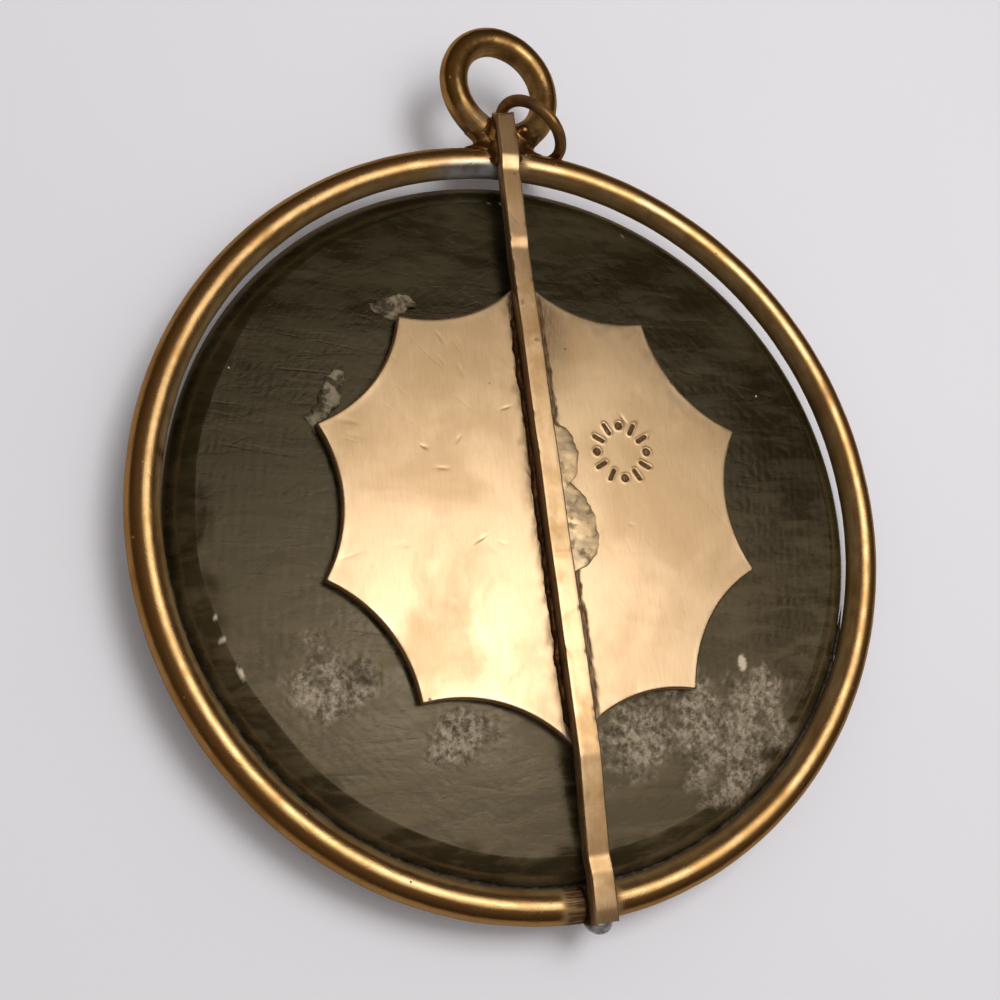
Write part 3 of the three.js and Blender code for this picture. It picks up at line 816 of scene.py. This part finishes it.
def makeStone():
    look = stoneLook
    angles = np.linspace(0, turn, look["angles"], endpoint=False)
    shares = np.concatenate([np.linspace(0.05, 0.55, 8), np.linspace(0.554, 0.997, 108)])
    rows = [polarRings(shares * look["flat"], angles, np.ones_like(angles))]
    heights = [np.full(len(shares), stoneTop)]
    outer = stoneEdge - look["shrink"]

    def shoulder(start, end, downward):  # a bevel ground by hand, a little crowned
        for step in range(9) if downward else range(8, -1, -1):
            share = step / 8
            radius = look["flat"] + (outer - look["flat"]) * share
            rows.append(polarRings(np.array([radius]), angles, np.ones_like(angles)))
            heights.append(np.array([start + (end - start) * (0.45 * share + 0.55 * share**3)]))

    shoulder(stoneTop, look["girdleHigh"], True)
    shoulder(0.0, look["girdleLow"], False)
    under = np.linspace(0.98, 0.05, 14)
    rows.append(polarRings(under * look["flat"], angles, np.ones_like(angles)))
    heights.append(np.zeros(len(under)))
    flat, height = np.concatenate(rows), np.concatenate(heights)
    rings = np.concatenate([flat, np.broadcast_to(height[:, None, None], flat.shape[:2] + (1,))], -1).copy()
    x, y = rings[..., 0], rings[..., 1]
    back = smoothstep(look["girdleHigh"], stoneTop, rings[..., 2])
    rough = roughShare(x, y) * back
    relief = look["swell"] * (waves(rings, look["swellSize"], 3) - 1.2)
    lumps = waves(rings, look["mottleSize"], 4)
    relief += (0.05 + rough) * look["mottle"] * (lumps - 0.8)
    relief += (0.06 + rough) * look["grit"] * (waves(rings, look["gritSize"], 5) - 0.8)
    far = np.hypot(x, y)
    rng = np.random.default_rng(16)
    for _ in range(look["chips"]):  # small chips along the shoulder, most of them at the lower left
        bearing, size = rng.uniform(math.pi * 0.95, math.pi * 1.75), rng.uniform(0.25, 0.8)
        cx, cy = look["chipRadius"] * math.cos(bearing), look["chipRadius"] * math.sin(bearing)
        relief -= look["chipDepth"] * size * np.exp(-((np.hypot(x - cx, y - cy) / size) ** 2))
    rings[..., 2] += relief * back
    # the shoulder starts a little further in or out as the stone was ground by hand
    shift = look["shoulderStray"] * waves(rings * np.array([1, 1, 0]), 6.0, 6)
    shift *= smoothstep(19.5, 21.0, far) * smoothstep(22.7, 21.5, far) * back
    rings[..., :2] *= (1 + shift / 21)[..., None]
    points, faces = loft(rings, np.array([[0, 0, rings[0, :, 2].mean()]]), np.array([[0, 0, 0.0]]))
    px, py = points[:, 0], points[:, 1]
    # the lower half of the back, whose colour is lightened as painted sheen
    lower = smoothstep(4, -12, py) * smoothstep(1.5, 3.0, points[:, 2])
    fleckX, fleckY, fleckWide, fleckTall = look["fleck"]
    pale = smoothstep(1.1, 0.8, np.hypot((px - fleckX) / fleckWide, (py - fleckY) / fleckTall))
    # painted highlights on chips in the shoulder
    for bearing, size in look["chipHighlights"]:
        a = math.radians(bearing)
        radial = (np.hypot(px, py) - look["flat"]) / 0.09
        otherSide = px * math.cos(a) + py * math.sin(a) < 0
        beside = (py * math.cos(a) - px * math.sin(a)) / size + otherSide * 99
        ragged = np.hypot(radial, beside) + 0.75 * waves(points, 0.35, 18)
        pale = np.maximum(pale, smoothstep(1.5, 0.5, ragged))
    # the height of the relief, for the painted glints on its peaks
    crag = np.append(smoothstep(-0.9, 0.8, lumps).ravel(), [0, 0])
    masks = {"rough": np.append(rough.ravel(), [0, 0]), "lower": lower, "pale": pale, "crag": crag}
    makePiece("stone", points, faces, makeStoneMaterial(), ["stone_disc"], "pendant", None, masks)


makeStone()
print("stone made")


def makeCementMaterial(name, shade):
    material, tree, shader, grain = newMaterial(name, IOR=1.5)
    cloud = useGroup(tree, patchyCloud, Vector=grain, Size=0.9, Low=0.44, High=0.6)[0]
    crumbs = useGroup(tree, scatteredPits, Vector=grain, Spacing=0.25, Share=0.45, Width=0.3)[0]
    grit = useGroup(tree, fineGrit, Vector=grain, Fineness=6.0, Detail=6.0, Harshness=0.7)[0]
    colour = mixColours(tree, cloud, (0.05, 0.034, 0.015, 1), (0.2, 0.165, 0.1, 1))
    colour = mixColours(tree, maths(tree, "MULTIPLY", crumbs, 0.4), colour, (0.3, 0.24, 0.17, 1))
    colour = mixColours(tree, 1.0, colour, shade, "MULTIPLY")
    tree.links.new(colour, shader.inputs["Base Color"])
    tree.links.new(spread(tree, grit, 0.3, 0.7, 0.35, 0.7), shader.inputs["Roughness"])
    addBump(tree, shader, grit, 30)
    return material


oldCement = makeCementMaterial("oldCement", (1, 1, 1, 1))
# a very dark copy of the cement for the groove's filler, painted shade
oldDirt = makeCementMaterial("oldDirt", (0.22, 0.2, 0.17, 1))
cementLook = {
    "inset": 0.25,
    "height": 0.3,
    "groove": {"bearings": (-178, -17), "radius": 22.92, "height": 2.36, "wide": 0.17, "tall": 0.2},
    "crumbs": {  # centre, half length, half width, degrees turned
        "cement_residue_upper": (-8.7, 13.2, 1.25, 0.75, 20),
        "cement_residue_left": (-13.1, 6.9, 2.0, 0.6, 62),
    },
}


def makeCementBed():
    angles = np.linspace(0, turn, 720, endpoint=False)
    edge = np.stack([np.cos(angles), np.sin(angles), 0 * angles], -1) * 15
    reach = starReach(angles) - cementLook["inset"] - 0.12 * (1 + waves(edge, 1.0, 31))
    outline = [
        (0.5, plateBase), (0.99, plateBase), (1.0, plateBase - 0.03), (1.01, stoneTop), (0.5, stoneTop),
    ]
    rows = []
    for share, z in outline:
        ring = polarRings(np.array([share]), angles, reach)
        rows.append(np.concatenate([ring, np.full(ring.shape[:2] + (1,), z)], -1))
    rings = np.concatenate(rows)
    points, faces = loft(rings, np.array([[0, 0, plateBase]]), np.array([[0, 0, stoneTop]]))
    makePiece("cement_layer", points, faces, oldCement, ["cement_bed"], "pendant")


def makeResidue(name, x, y, long, wide, degrees):
    place = Matrix.Translation((x, y, stoneTop)) @ Matrix.Rotation(math.radians(degrees), 4, "Z")

    def field(points):
        local = unplaced(points, place)
        egg = eggField(local, (0, 0, 0), (long * 1.12, wide * 1.12, cementLook["height"] * 0.85))
        lumpy = egg + 0.06 * waves(points, 1.2, 71) + 0.03 * waves(points, 0.4, 72)
        px, py, pz = np.moveaxis(points, -1, 0)
        underPlate = starReach(np.arctan2(py, px)) + 0.03 - np.hypot(px, py)
        return np.maximum.reduce([lumpy, stoneTop - 0.03 - pz, underPlate])

    reach = long * 1.5
    low, high = (x - reach, y - reach, stoneTop - 0.1), (x + reach, y + reach, stoneTop + 0.7)
    points, faces = skinOf(field, low, high, 0.045)
    makePiece(name + "_crumb", points, faces, oldCement, [name], "pendant")


makeCementBed()
for crumbName, crumbShape in cementLook["crumbs"].items():
    makeResidue(crumbName, *crumbShape)


def makeGroove():  # a dark filler in the groove between the stone's lower half and the hoop, painted shade
    look = cementLook["groove"]
    start, end = (math.radians(degrees) for degrees in look["bearings"])
    angles = np.linspace(start, end, 420)
    side = np.linspace(0, turn, 12, endpoint=False)
    bearing, around = np.meshgrid(angles, side, indexing="ij")
    line = np.stack([np.cos(bearing), np.sin(bearing), 0 * bearing], -1)
    fade = smoothstep(start, start + 0.15, bearing) * smoothstep(end, end - 0.15, bearing)
    ragged = 1 + 0.25 * waves(line * 22, 1.4, 81) + 0.1 * waves(line * 22, 0.4, 82)
    radius = look["radius"] + np.cos(around) * look["wide"] * fade * ragged
    height = look["height"] + np.sin(around) * look["tall"] * fade * ragged
    rings = line * radius[..., None]
    rings[..., 2] = height
    points, faces = loft(rings, rings[0].mean(0)[None], rings[-1].mean(0)[None])
    makePiece("groove_shade", points, faces, oldDirt, ["cement_bed"], "pendant")


makeGroove()
print("cement made")


def makeSolder(name, look):
    material, tree, shader, grain = newMaterial(name, Metallic=look["metal"])
    cloud = useGroup(tree, patchyCloud, Vector=grain, Size=look["size"], Low=0.4, High=0.62)[0]
    scale = useGroup(tree, patchyCloud, Vector=grain, Size=look["size"] * 0.35, Low=0.5, High=0.66)[0]
    pits = useGroup(tree, scatteredPits, Vector=grain, Spacing=0.3, Share=0.25, Width=0.25)[0]
    grit = useGroup(tree, fineGrit, Vector=grain, Fineness=5.0, Detail=4.0, Harshness=0.6)[0]
    colour = mixColours(tree, cloud, look["bright"], look["dull"])
    colour = mixColours(tree, maths(tree, "MULTIPLY", scale, look["burnShare"]), colour, look["burn"])
    colour = mixColours(tree, maths(tree, "MULTIPLY", pits, 0.4), colour, look["burn"])
    grimeAndShade = maskOf(tree, "grimeAndShade")
    colour = useGroup(tree, wornSkin, Colour=colour, Dirt=grimeAndShade, Dirt_Colour=(0.07, 0.03, 0.01, 1))[0]
    tree.links.new(colour, shader.inputs["Base Color"])
    rough = spread(tree, cloud, 0.0, 1.0, look["rough"][0], look["rough"][1], "LINEAR")
    tree.links.new(maths(tree, "MULTIPLY_ADD", scale, 0.2, rough), shader.inputs["Roughness"])
    addBump(tree, shader, maths(tree, "SUBTRACT", grit, maths(tree, "MULTIPLY", pits, 0.5)), look["bump"])
    return material


greySolder = makeSolder("greySolder", {
    "bright": (0.62, 0.64, 0.67, 1), "dull": (0.3, 0.31, 0.33, 1), "burn": (0.12, 0.1, 0.08, 1),
    "burnShare": 0.5, "size": 0.6, "rough": (0.26, 0.42), "bump": 10, "metal": 0.6,
})
patchSolder = makeSolder("patchSolder", {
    "bright": (0.66, 0.49, 0.28, 1), "dull": (0.46, 0.36, 0.22, 1), "burn": (0.24, 0.17, 0.1, 1),
    "burnShare": 0.5, "size": 1.6, "rough": (0.28, 0.36), "bump": 6, "metal": 1.0,
})
brownSolder = makeSolder("brownSolder", {
    "bright": (0.58, 0.36, 0.14, 1), "dull": (0.28, 0.14, 0.045, 1), "burn": (0.07, 0.03, 0.01, 1),
    "burnShare": 0.55, "size": 0.9, "rough": (0.24, 0.38), "bump": 6, "metal": 1.0,
})
# solder beside the strap, coloured nearly black: flux, darkened further as painted shade of the strap's left
# wall
fluxAndShade = makeSolder("fluxAndShade", {
    "bright": (0.12, 0.05, 0.014, 1), "dull": (0.05, 0.02, 0.006, 1), "burn": (0.02, 0.008, 0.003, 1),
    "burnShare": 0.6, "size": 0.7, "rough": (0.34, 0.5), "bump": 8, "metal": 0.8,
})


def hoopField(points):
    return wireField(points, hoopPlace, hoopMiddle, hoopWire)


def bailField(points):
    return wireField(points, bailPlace, bailLook["middle"], bailLook["wire"])


def strapField(points):
    local = unplaced(points, strapTurn)
    look = strapLook
    across = np.abs(local[..., 0]) - look["width"] / 2
    through = np.abs(local[..., 2] - strapMiddle(local[..., 1])) - look["thickness"] / 2
    ends = np.abs(local[..., 1] - 1) - 26
    away = np.stack([across, through, ends], -1)
    return np.linalg.norm(np.maximum(away, 0), axis=-1) + np.minimum(away.max(-1), 0)


solderSplit = hoopCrest(25) - 0.42  # the bail's solder lies below this level and the strap's above
# stray drops that froze on the bail ring: centre and half sizes
solderKnobs = [(-1.3, 26.35, 4.72, 0.5, 0.42, 0.42), (1.25, 26.15, 4.68, 0.48, 0.42, 0.42)]


def bailSolderField(points):
    joined = melt(hoopField(points), bailField(points), 1.5) + 0.025 * waves(points, 0.9, 41)
    limit = eggField(points, (0, 25.3, hoopCrest(25) - 1.0), (3.0, 1.9, 1.3))
    fillet = np.maximum(joined, limit)
    for knob in solderKnobs:
        fillet = melt(fillet, eggField(points, knob[:3], knob[3:]), 0.25)
    strapRoom = -strapField(points) - 0.01
    return np.maximum.reduce([fillet, strapRoom, -hoopField(points) - 0.01, -bailField(points) - 0.01])


def headSolderField(points):
    wires = np.minimum(hoopField(points), bailField(points))
    joined = melt(wires, strapField(points), 0.9) + 0.035 * waves(points, 0.8, 42)
    limit = eggField(points, (strapXAt(25), 25.0, hoopCrest(25)), (1.5, 2.1, 0.8))
    below = solderSplit - points[..., 2]
    return np.maximum.reduce([joined, limit, below, -wires - 0.01, -strapField(points) - 0.01])


def footSolderField(points):
    egg = eggField(points, (strapXAt(-25), -24.92, hoopCrest(-25) - 0.4), (0.82, 0.7, 0.78))
    lump = melt(egg, hoopField(points) + 0.12, 0.4) + 0.03 * waves(points, 0.8, 43)
    limit = eggField(points, (strapXAt(-25), -24.9, hoopCrest(-25) - 0.75), (0.98, 0.9, 0.85))
    rim = -25.64 - points[..., 1]
    return np.maximum.reduce([lump, limit, rim, -hoopField(points) - 0.01, -strapField(points) - 0.01])


def makeLump(name, node, field, centre, reach, material, slot):
    low, high = np.array(centre) - reach, np.array(centre) + reach
    points, faces = skinOf(field, low, high, 0.05)
    burnt = smoothstep(-25.15, -24.75, points[:, 1] + 0.12 * waves(points, 0.6, 44)) * (points[:, 1] < 0)
    makePiece(name, points, faces, material, [node], "pendant", None, {"grimeAndShade": burnt})


crestHigh, crestLow = hoopCrest(25), hoopCrest(-25)
bailSpan = (0, 25.4, crestHigh - 0.8), (3.2, 2.1, 1.8)  # centre and reach of the space that is searched
headSpan = (strapXAt(25), 25, crestHigh), (1.8, 2.3, 1.1)
footSpan = (strapXAt(-25), -24.6, crestLow - 0.5), (2.5, 1.4, 1.5)
makeLump("bail_fillet", "bail_solder", bailSolderField, *bailSpan, brownSolder, "brown_solder")
makeLump("head_fillet", "strap_top_solder", headSolderField, *headSpan, brownSolder, "grey_solder")
makeLump("foot_lump", "strap_foot_solder", footSolderField, *footSpan, greySolder, "grey_solder")


def makeSeamPlug():
    angles = np.linspace(-turn / 4 - 0.004, -turn / 4 + 0.004, 7)
    look = dict(hoopLook, shrink=0.03, wander=0.004)
    rings, _, core = wireRings(hoopMiddle, hoopWire, angles, 32, hoopPlace, look, 61)
    ends = placed(core[[0, -1], 0], hoopPlace)
    points, faces = loft(rings, ends[:1], ends[1:])
    dirty = {"grimeAndShade": np.ones(len(points))}
    node = "hoop_seam_solder"
    makePiece("seam_fill", points, faces, greySolder, [node], "pendant", None, dirty)


def makeRun(name, node, side, fromY, toY, widthAt, heightAt, material):
    # a low run of solder beside the strap, thin at its outer edge
    ys = np.arange(fromY, toY, -0.06)
    t = np.linspace(0, 1, 22)
    y, share = np.meshgrid(ys, t, indexing="ij")
    fade = smoothstep(0, 0.6, fromY - y) * smoothstep(0, 0.6, y - toY) * 0.85 + 0.15
    wide = widthAt(ys)[:, None] * fade
    x = side * (strapLook["width"] / 2 - y * strapLook["taper"] / 2 - 0.01 + share * wide)
    skin = np.stack([x, y, np.zeros_like(x)], -1)
    rise = heightAt(skin, share) * np.clip(1 - share**3, 0, 1) ** 0.7 * fade
    top = np.stack([x, y, plateTop + 0.004 + rise], -1)
    bottom = np.stack([x, y, np.full_like(x, plateTop - 0.012)], -1)[:, ::-1]
    rings = placed(np.concatenate([top, bottom], 1), strapTurn)
    points, faces = loft(rings, rings[0].mean(0)[None], rings[-1].mean(0)[None])
    makePiece(name, points, faces, material, [node], "pendant")


def sideWidth(ys):
    spots = np.stack([0 * ys, ys, 0 * ys], -1)
    return np.clip(0.34 + 0.06 * waves(spots, 1.6, 51) + 0.025 * waves(spots, 0.35, 52), 0.12, 0.6)


def patchWidth(ys):
    spots = np.stack([0 * ys, ys, 0 * ys], -1)
    upper = 1.5 * np.sqrt(np.clip(1 - ((ys - 3.1) / 2.4) ** 2, 0, 1))
    lower = 2.3 * np.sqrt(np.clip(1 - ((ys + 1.7) / 3.1) ** 2, 0, 1))
    ragged = 0.15 * waves(spots, 1.4, 53) + 0.05 * waves(spots, 0.5, 54)
    return np.clip(np.maximum(upper, lower) + ragged, 0.3, 2.4)


def sideHeight(skin, share):
    return 0.14 + 0.03 * waves(skin, 0.8, 55)


def patchHeight(skin, share):
    return 0.045 + 0.016 * waves(skin, 1.3, 56) + 0.005 * waves(skin, 0.5, 57)


makeSeamPlug()
makeRun("side_run", "strap_side_solder", -1, 12.6, -14, sideWidth, sideHeight, fluxAndShade)
makeRun("plate_patch", "solder_patch", 1, 5.4, -4.8, patchWidth, patchHeight, patchSolder)
print("solder made")


floorLook = {
    "size": 4.0, "drop": 0.00001,  # metres
    "colour": (0.74, 0.735, 0.775, 1), "shade": (0.71, 0.705, 0.745, 1), "mirrored": (0.3, 0.23, 0.16, 1),
}


def makeFloor():
    half = floorLook["size"] / 2
    mesh = bpy.data.meshes.new("floor")
    corners = [(-half, -half, 0), (half, -half, 0), (half, half, 0), (-half, half, 0)]
    mesh.from_pydata(corners, [], [[0, 1, 2, 3]])
    floor = bpy.data.objects.new("floor", mesh)
    floor.location.z = -floorLook["drop"]
    bpy.context.scene.collection.objects.link(floor)
    material, tree, shader, _ = newMaterial("paleFloor", Roughness=0.95, Specular_IOR_Level=0.1)
    place = addNode(tree, "TexCoord").outputs["Object"]
    noise = addNode(tree, "TexNoise", {"Vector": place, "Scale": 30.0, "Detail": 3.0}).outputs[0]
    colour = mixColours(tree, noise, floorLook["colour"], floorLook["shade"])
    mirrored = addNode(tree, "LightPath").outputs["Is Glossy Ray"]  # in polished metal the floor is painted darker and warmer, as painted shade on the cloth beside the hoop
    colour = mixColours(tree, mirrored, colour, floorLook["mirrored"])
    tree.links.new(colour, shader.inputs["Base Color"])
    mesh.materials.append(material)


def addDisc(name, place, aim, size, radiance, colour, mirrored=True):
    lamp = bpy.data.lights.new(name, "AREA")
    lamp.shape, lamp.size = "DISK", size
    lamp.energy = radiance * math.pi * math.pi * (size / 2) ** 2
    lamp.color = colour
    held = bpy.data.objects.new(name, lamp)
    held.location = place
    held.rotation_euler = (Vector(place) - Vector(aim)).to_track_quat("Z", "Y").to_euler()
    held.visible_camera = False
    held.visible_glossy = mirrored
    bpy.context.scene.collection.objects.link(held)


lightLook = {
    "keyPlace": (0.035, 0.006, 0.138), "keyAim": (-0.002, -0.002, 0.004),
    # a small bright core in a wide soft disc: size in metres, brightness, colour
    "keyRings": [(0.038, 3.8, (1.0, 0.97, 1.0)), (0.132, 1.15, (1.0, 0.95, 0.89))],
    "fillPlace": (0.12, 0.14, 0.42), "fillSize": 0.24, "fillBright": 6.0, "fillColour": (0.98, 0.985, 1.0),
    # the room is bright on matt things, dim and warm in polished ones
    "skyForMatt": 0.42, "skySeen": 0.62, "skyOverhead": 0.085, "skyHorizon": 0.02,
    "skyWarm": (1.0, 0.58, 0.26, 1), "skyPlain": (1.0, 0.96, 0.92, 1),
}


def makeLights():
    look = lightLook
    for i, (size, bright, colour) in enumerate(look["keyRings"]):
        lift = Vector(look["keyPlace"]) * (1 + 0.02 * i)
        addDisc(f"key{i}", lift, look["keyAim"], size, bright, colour)
    fill = [look["fill" + key] for key in ("Size", "Bright", "Colour")]
    addDisc("fill", look["fillPlace"], (0, 0, 0), *fill, mirrored=False)
    world = bpy.data.worlds.new("studio")
    world.use_nodes = True
    bpy.context.scene.world = world
    tree = world.node_tree
    background = next(n for n in tree.nodes if n.type == "BACKGROUND")
    up = addNode(tree, "SeparateXYZ", {0: addNode(tree, "TexCoord").outputs["Generated"]}).outputs["Z"]
    room = spread(tree, up, 0.1, 0.95, look["skyHorizon"], look["skyOverhead"])
    ray = addNode(tree, "LightPath").outputs
    bright = addNode(tree, "Mix", {0: ray["Is Glossy Ray"], 2: look["skyForMatt"], 3: room}).outputs[0]
    bright = addNode(tree, "Mix", {0: ray["Is Camera Ray"], 2: bright, 3: look["skySeen"]}).outputs[0]
    tree.links.new(bright, background.inputs["Strength"])
    warm = mixColours(tree, ray["Is Glossy Ray"], look["skyPlain"], look["skyWarm"])
    tree.links.new(warm, background.inputs["Color"])


cameraLook = {
    "place": (-26.72, -17.83, 66.85), "aim": (-1.45, 1.29, 0.0),  # mm
    "roll": -5.893,  # degrees
    "lens": 40.67,
}


def makeCamera():
    look = cameraLook
    lens = bpy.data.cameras.new("camera")
    lens.lens, lens.sensor_width = look["lens"], 36
    lens.clip_start, lens.clip_end = 0.002, 20
    camera = bpy.data.objects.new("camera", lens)
    back = (Vector(look["place"]) - Vector(look["aim"])).normalized()
    right = Vector((0, 1, 0)).cross(back).normalized()
    level = Matrix((right, back.cross(right), back)).transposed().to_4x4()
    rolled = level @ Matrix.Rotation(math.radians(look["roll"]), 4, "Z")
    camera.matrix_world = Matrix.Translation(Vector(look["place"]) * mm) @ rolled
    bpy.context.scene.collection.objects.link(camera)
    bpy.context.scene.camera = camera


makeFloor()
makeLights()
makeCamera()
bpy.context.scene.view_settings.view_transform = "Standard"
print("stage set")
